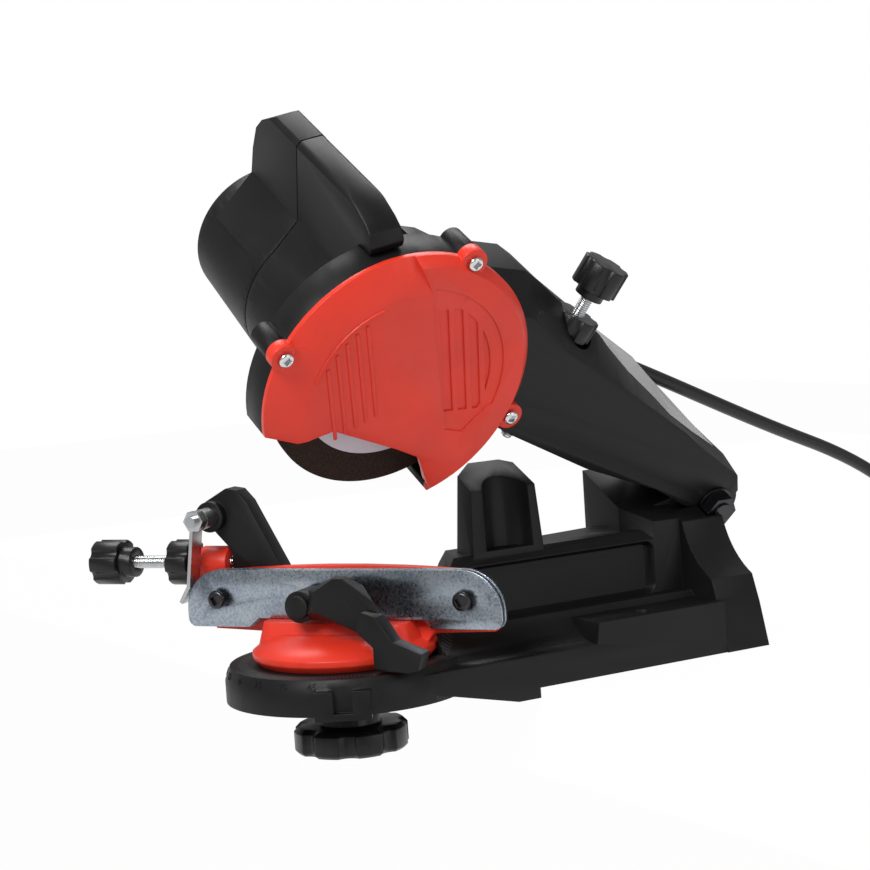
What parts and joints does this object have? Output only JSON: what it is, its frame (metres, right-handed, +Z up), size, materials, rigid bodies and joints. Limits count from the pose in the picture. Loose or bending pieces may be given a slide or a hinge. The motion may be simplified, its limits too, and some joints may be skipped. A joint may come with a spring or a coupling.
{
  "type": "electric chainsaw sharpener",
  "caption": "Bench-mounted electric grinder for saw chains: a motor head with guarded disc swings down on an inclined pivot over a swivelling chain vise.",
  "frame": {"origin": "middle of the two bench bolts, on the underside of the base", "axes": "+Z up, square to the bench; +X along the base from the chain vise to the pivot; +Y across it, away from the guard cover"},
  "size_m": [0.6117, 0.2178, 0.28],
  "materials": {
    "black_plastic": "fine-grained moulded",
    "black_knob": "moulded",
    "red_plastic": "smooth moulded",
    "red_casting": "painted casting",
    "zinc_plate": "zinc plated",
    "steel": "plain",
    "bright_steel": "polished",
    "black_steel": "blackened",
    "abrasive": "bonded abrasive",
    "paper": "printed paper, bare",
    "copper": "copper",
    "iron": "laminated",
    "carbon": "carbon",
    "grey_plastic": "moulded",
    "rubber": "smooth"
  },
  "bodies": {
    "base": {"base_frame": "black_plastic", "pivot_sleeve": "steel", "return_spring": "steel", "pivot_bolt": "bright_steel", "pivot_washer_near": "steel", "pivot_washer_far": "steel", "pivot_nut": "steel", "cord_coil": "rubber", "plug": "rubber"},
    "vise": {"vise_body": "red_casting", "rail_plate_rear": "zinc_plate", "rail_screw_left": "black_steel", "rail_screw_right": "black_steel", "clamp_bolt": "steel", "swivel_bolt": "steel", "swivel_washer": "steel"},
    "front_jaw": {"rail_plate_front": "zinc_plate"},
    "lever": {"clamp_lever": "black_plastic", "lever_cap": "black_plastic"},
    "lock_knob": {"swivel_lock_knob": "black_knob"},
    "stop_carriage": {"stop_arm": "black_plastic", "pawl_bolt": "steel", "pawl_nut": "bright_steel", "stop_screw": "bright_steel"},
    "stop_knob": {"stop_knob": "black_knob"},
    "stop_lock": {"stop_lock_knob": "black_knob"},
    "pawl": {"chain_pawl": "steel"},
    "arm": {"arm_shell": "black_plastic", "guard_cover": "red_plastic", "cover_screw_left": "bright_steel", "cover_screw_lower": "bright_steel", "cover_screw_upper": "bright_steel", "motor_housing_front": "black_plastic", "motor_housing_rear": "black_plastic", "bearing_front": "steel", "bearing_rear": "steel", "stator": "iron", "brush_left": "carbon", "brush_right": "carbon", "switch_frame": "black_plastic", "strain_relief": "rubber", "cord": "rubber"},
    "rotor": {"grinding_disc": "abrasive", "disc_label": "paper", "flange_outer": "steel", "flange_inner": "steel", "arbor_nut": "steel", "rotor_shaft": "steel", "armature": "iron", "commutator": "copper", "fan": "grey_plastic"},
    "switch": {"switch_rocker": "red_plastic"},
    "depth_screw": {"depth_screw": "bright_steel"},
    "depth_knob": {"depth_knob": "black_knob"},
    "depth_lock": {"depth_lock_knob": "black_knob"}
  },
  "joints": [
    {"name": "arm_swing", "type": "hinge", "parent": "base", "child": "arm", "pos_m": [0.066, -0.0065, 0.06746], "axis": [0, -0.866, -0.5], "range_deg": [0, 10.4], "stiffness_Nm_per_rad": 10, "springref_deg": -40.11},
    {"name": "rotor_spin", "type": "hinge", "parent": "arm", "child": "rotor", "pos_m": [-0.1301, -0.05122, 0.14492], "axis": [0, 0.866, 0.5], "continuous": true},
    {"name": "vise_swivel", "type": "hinge", "parent": "base", "child": "vise", "pos_m": [-0.131, 0, 0.0175], "axis": [0, 0, 1], "range_deg": [-70, 0]},
    {"name": "lock_knob_turn", "type": "hinge", "parent": "vise", "child": "lock_knob", "pos_m": [-0.131, 0, -0.017], "axis": [0, 0, 1], "range_deg": [-120, 0]},
    {"name": "lever_turn", "type": "hinge", "parent": "vise", "child": "lever", "pos_m": [-0.14691, 0.0018, 0.0432], "axis": [-0.8192, -0.5736, 0], "range_deg": [0, 32]},
    {"name": "jaw_slide", "type": "slide", "parent": "vise", "child": "front_jaw", "axis": [-0.8192, -0.5736, 0], "range_m": [0, 0.0015]},
    {"name": "stop_slide", "type": "slide", "parent": "vise", "child": "stop_carriage", "axis": [0.5736, -0.8192, 0], "range_m": [0, 0.009]},
    {"name": "stop_knob_turn", "type": "hinge", "parent": "stop_carriage", "child": "stop_knob", "pos_m": [-0.18803, 0.10412, 0.0578], "axis": [0.5736, -0.8192, 0], "range_deg": [0, 3250]},
    {"name": "pawl_lift", "type": "hinge", "parent": "stop_carriage", "child": "pawl", "pos_m": [-0.16949, 0.05496, 0.0795], "axis": [0.8192, 0.5736, 0], "range_deg": [0, 20.4]},
    {"name": "stop_lock_turn", "type": "hinge", "parent": "vise", "child": "stop_lock", "pos_m": [-0.16624, 0.07299, 0.0578], "axis": [-0.5736, 0.8192, 0], "range_deg": [0, 90]},
    {"name": "switch_rock", "type": "hinge", "parent": "arm", "child": "switch", "pos_m": [-0.1501, 0.0501, 0.20342], "axis": [1, 0, 0], "range_deg": [0, 13]},
    {"name": "depth_slide", "type": "slide", "parent": "arm", "child": "depth_screw", "axis": [0.342, -0.4698, 0.8138], "range_m": [0, 0.015]},
    {"name": "depth_knob_turn", "type": "hinge", "parent": "depth_screw", "child": "depth_knob", "pos_m": [-0.02674, -0.05866, 0.1738], "axis": [0.342, -0.4698, 0.8138], "range_deg": [0, 5410]},
    {"name": "depth_lock_turn", "type": "hinge", "parent": "arm", "child": "depth_lock", "pos_m": [-0.03426, -0.04832, 0.1559], "axis": [0.342, -0.4698, 0.8138], "range_deg": [0, 90]}
  ],
  "couplings": [
    {"joint": "jaw_slide", "follows": "lever_turn", "m_per_rad": 0.0026857},
    {"joint": "stop_knob_turn", "follows": "stop_slide", "rad_per_m": 6283.2},
    {"joint": "pawl_lift", "follows": "stop_slide", "rad_per_m": 39.27},
    {"joint": "depth_knob_turn", "follows": "depth_slide", "rad_per_m": 6283.2}
  ]
}
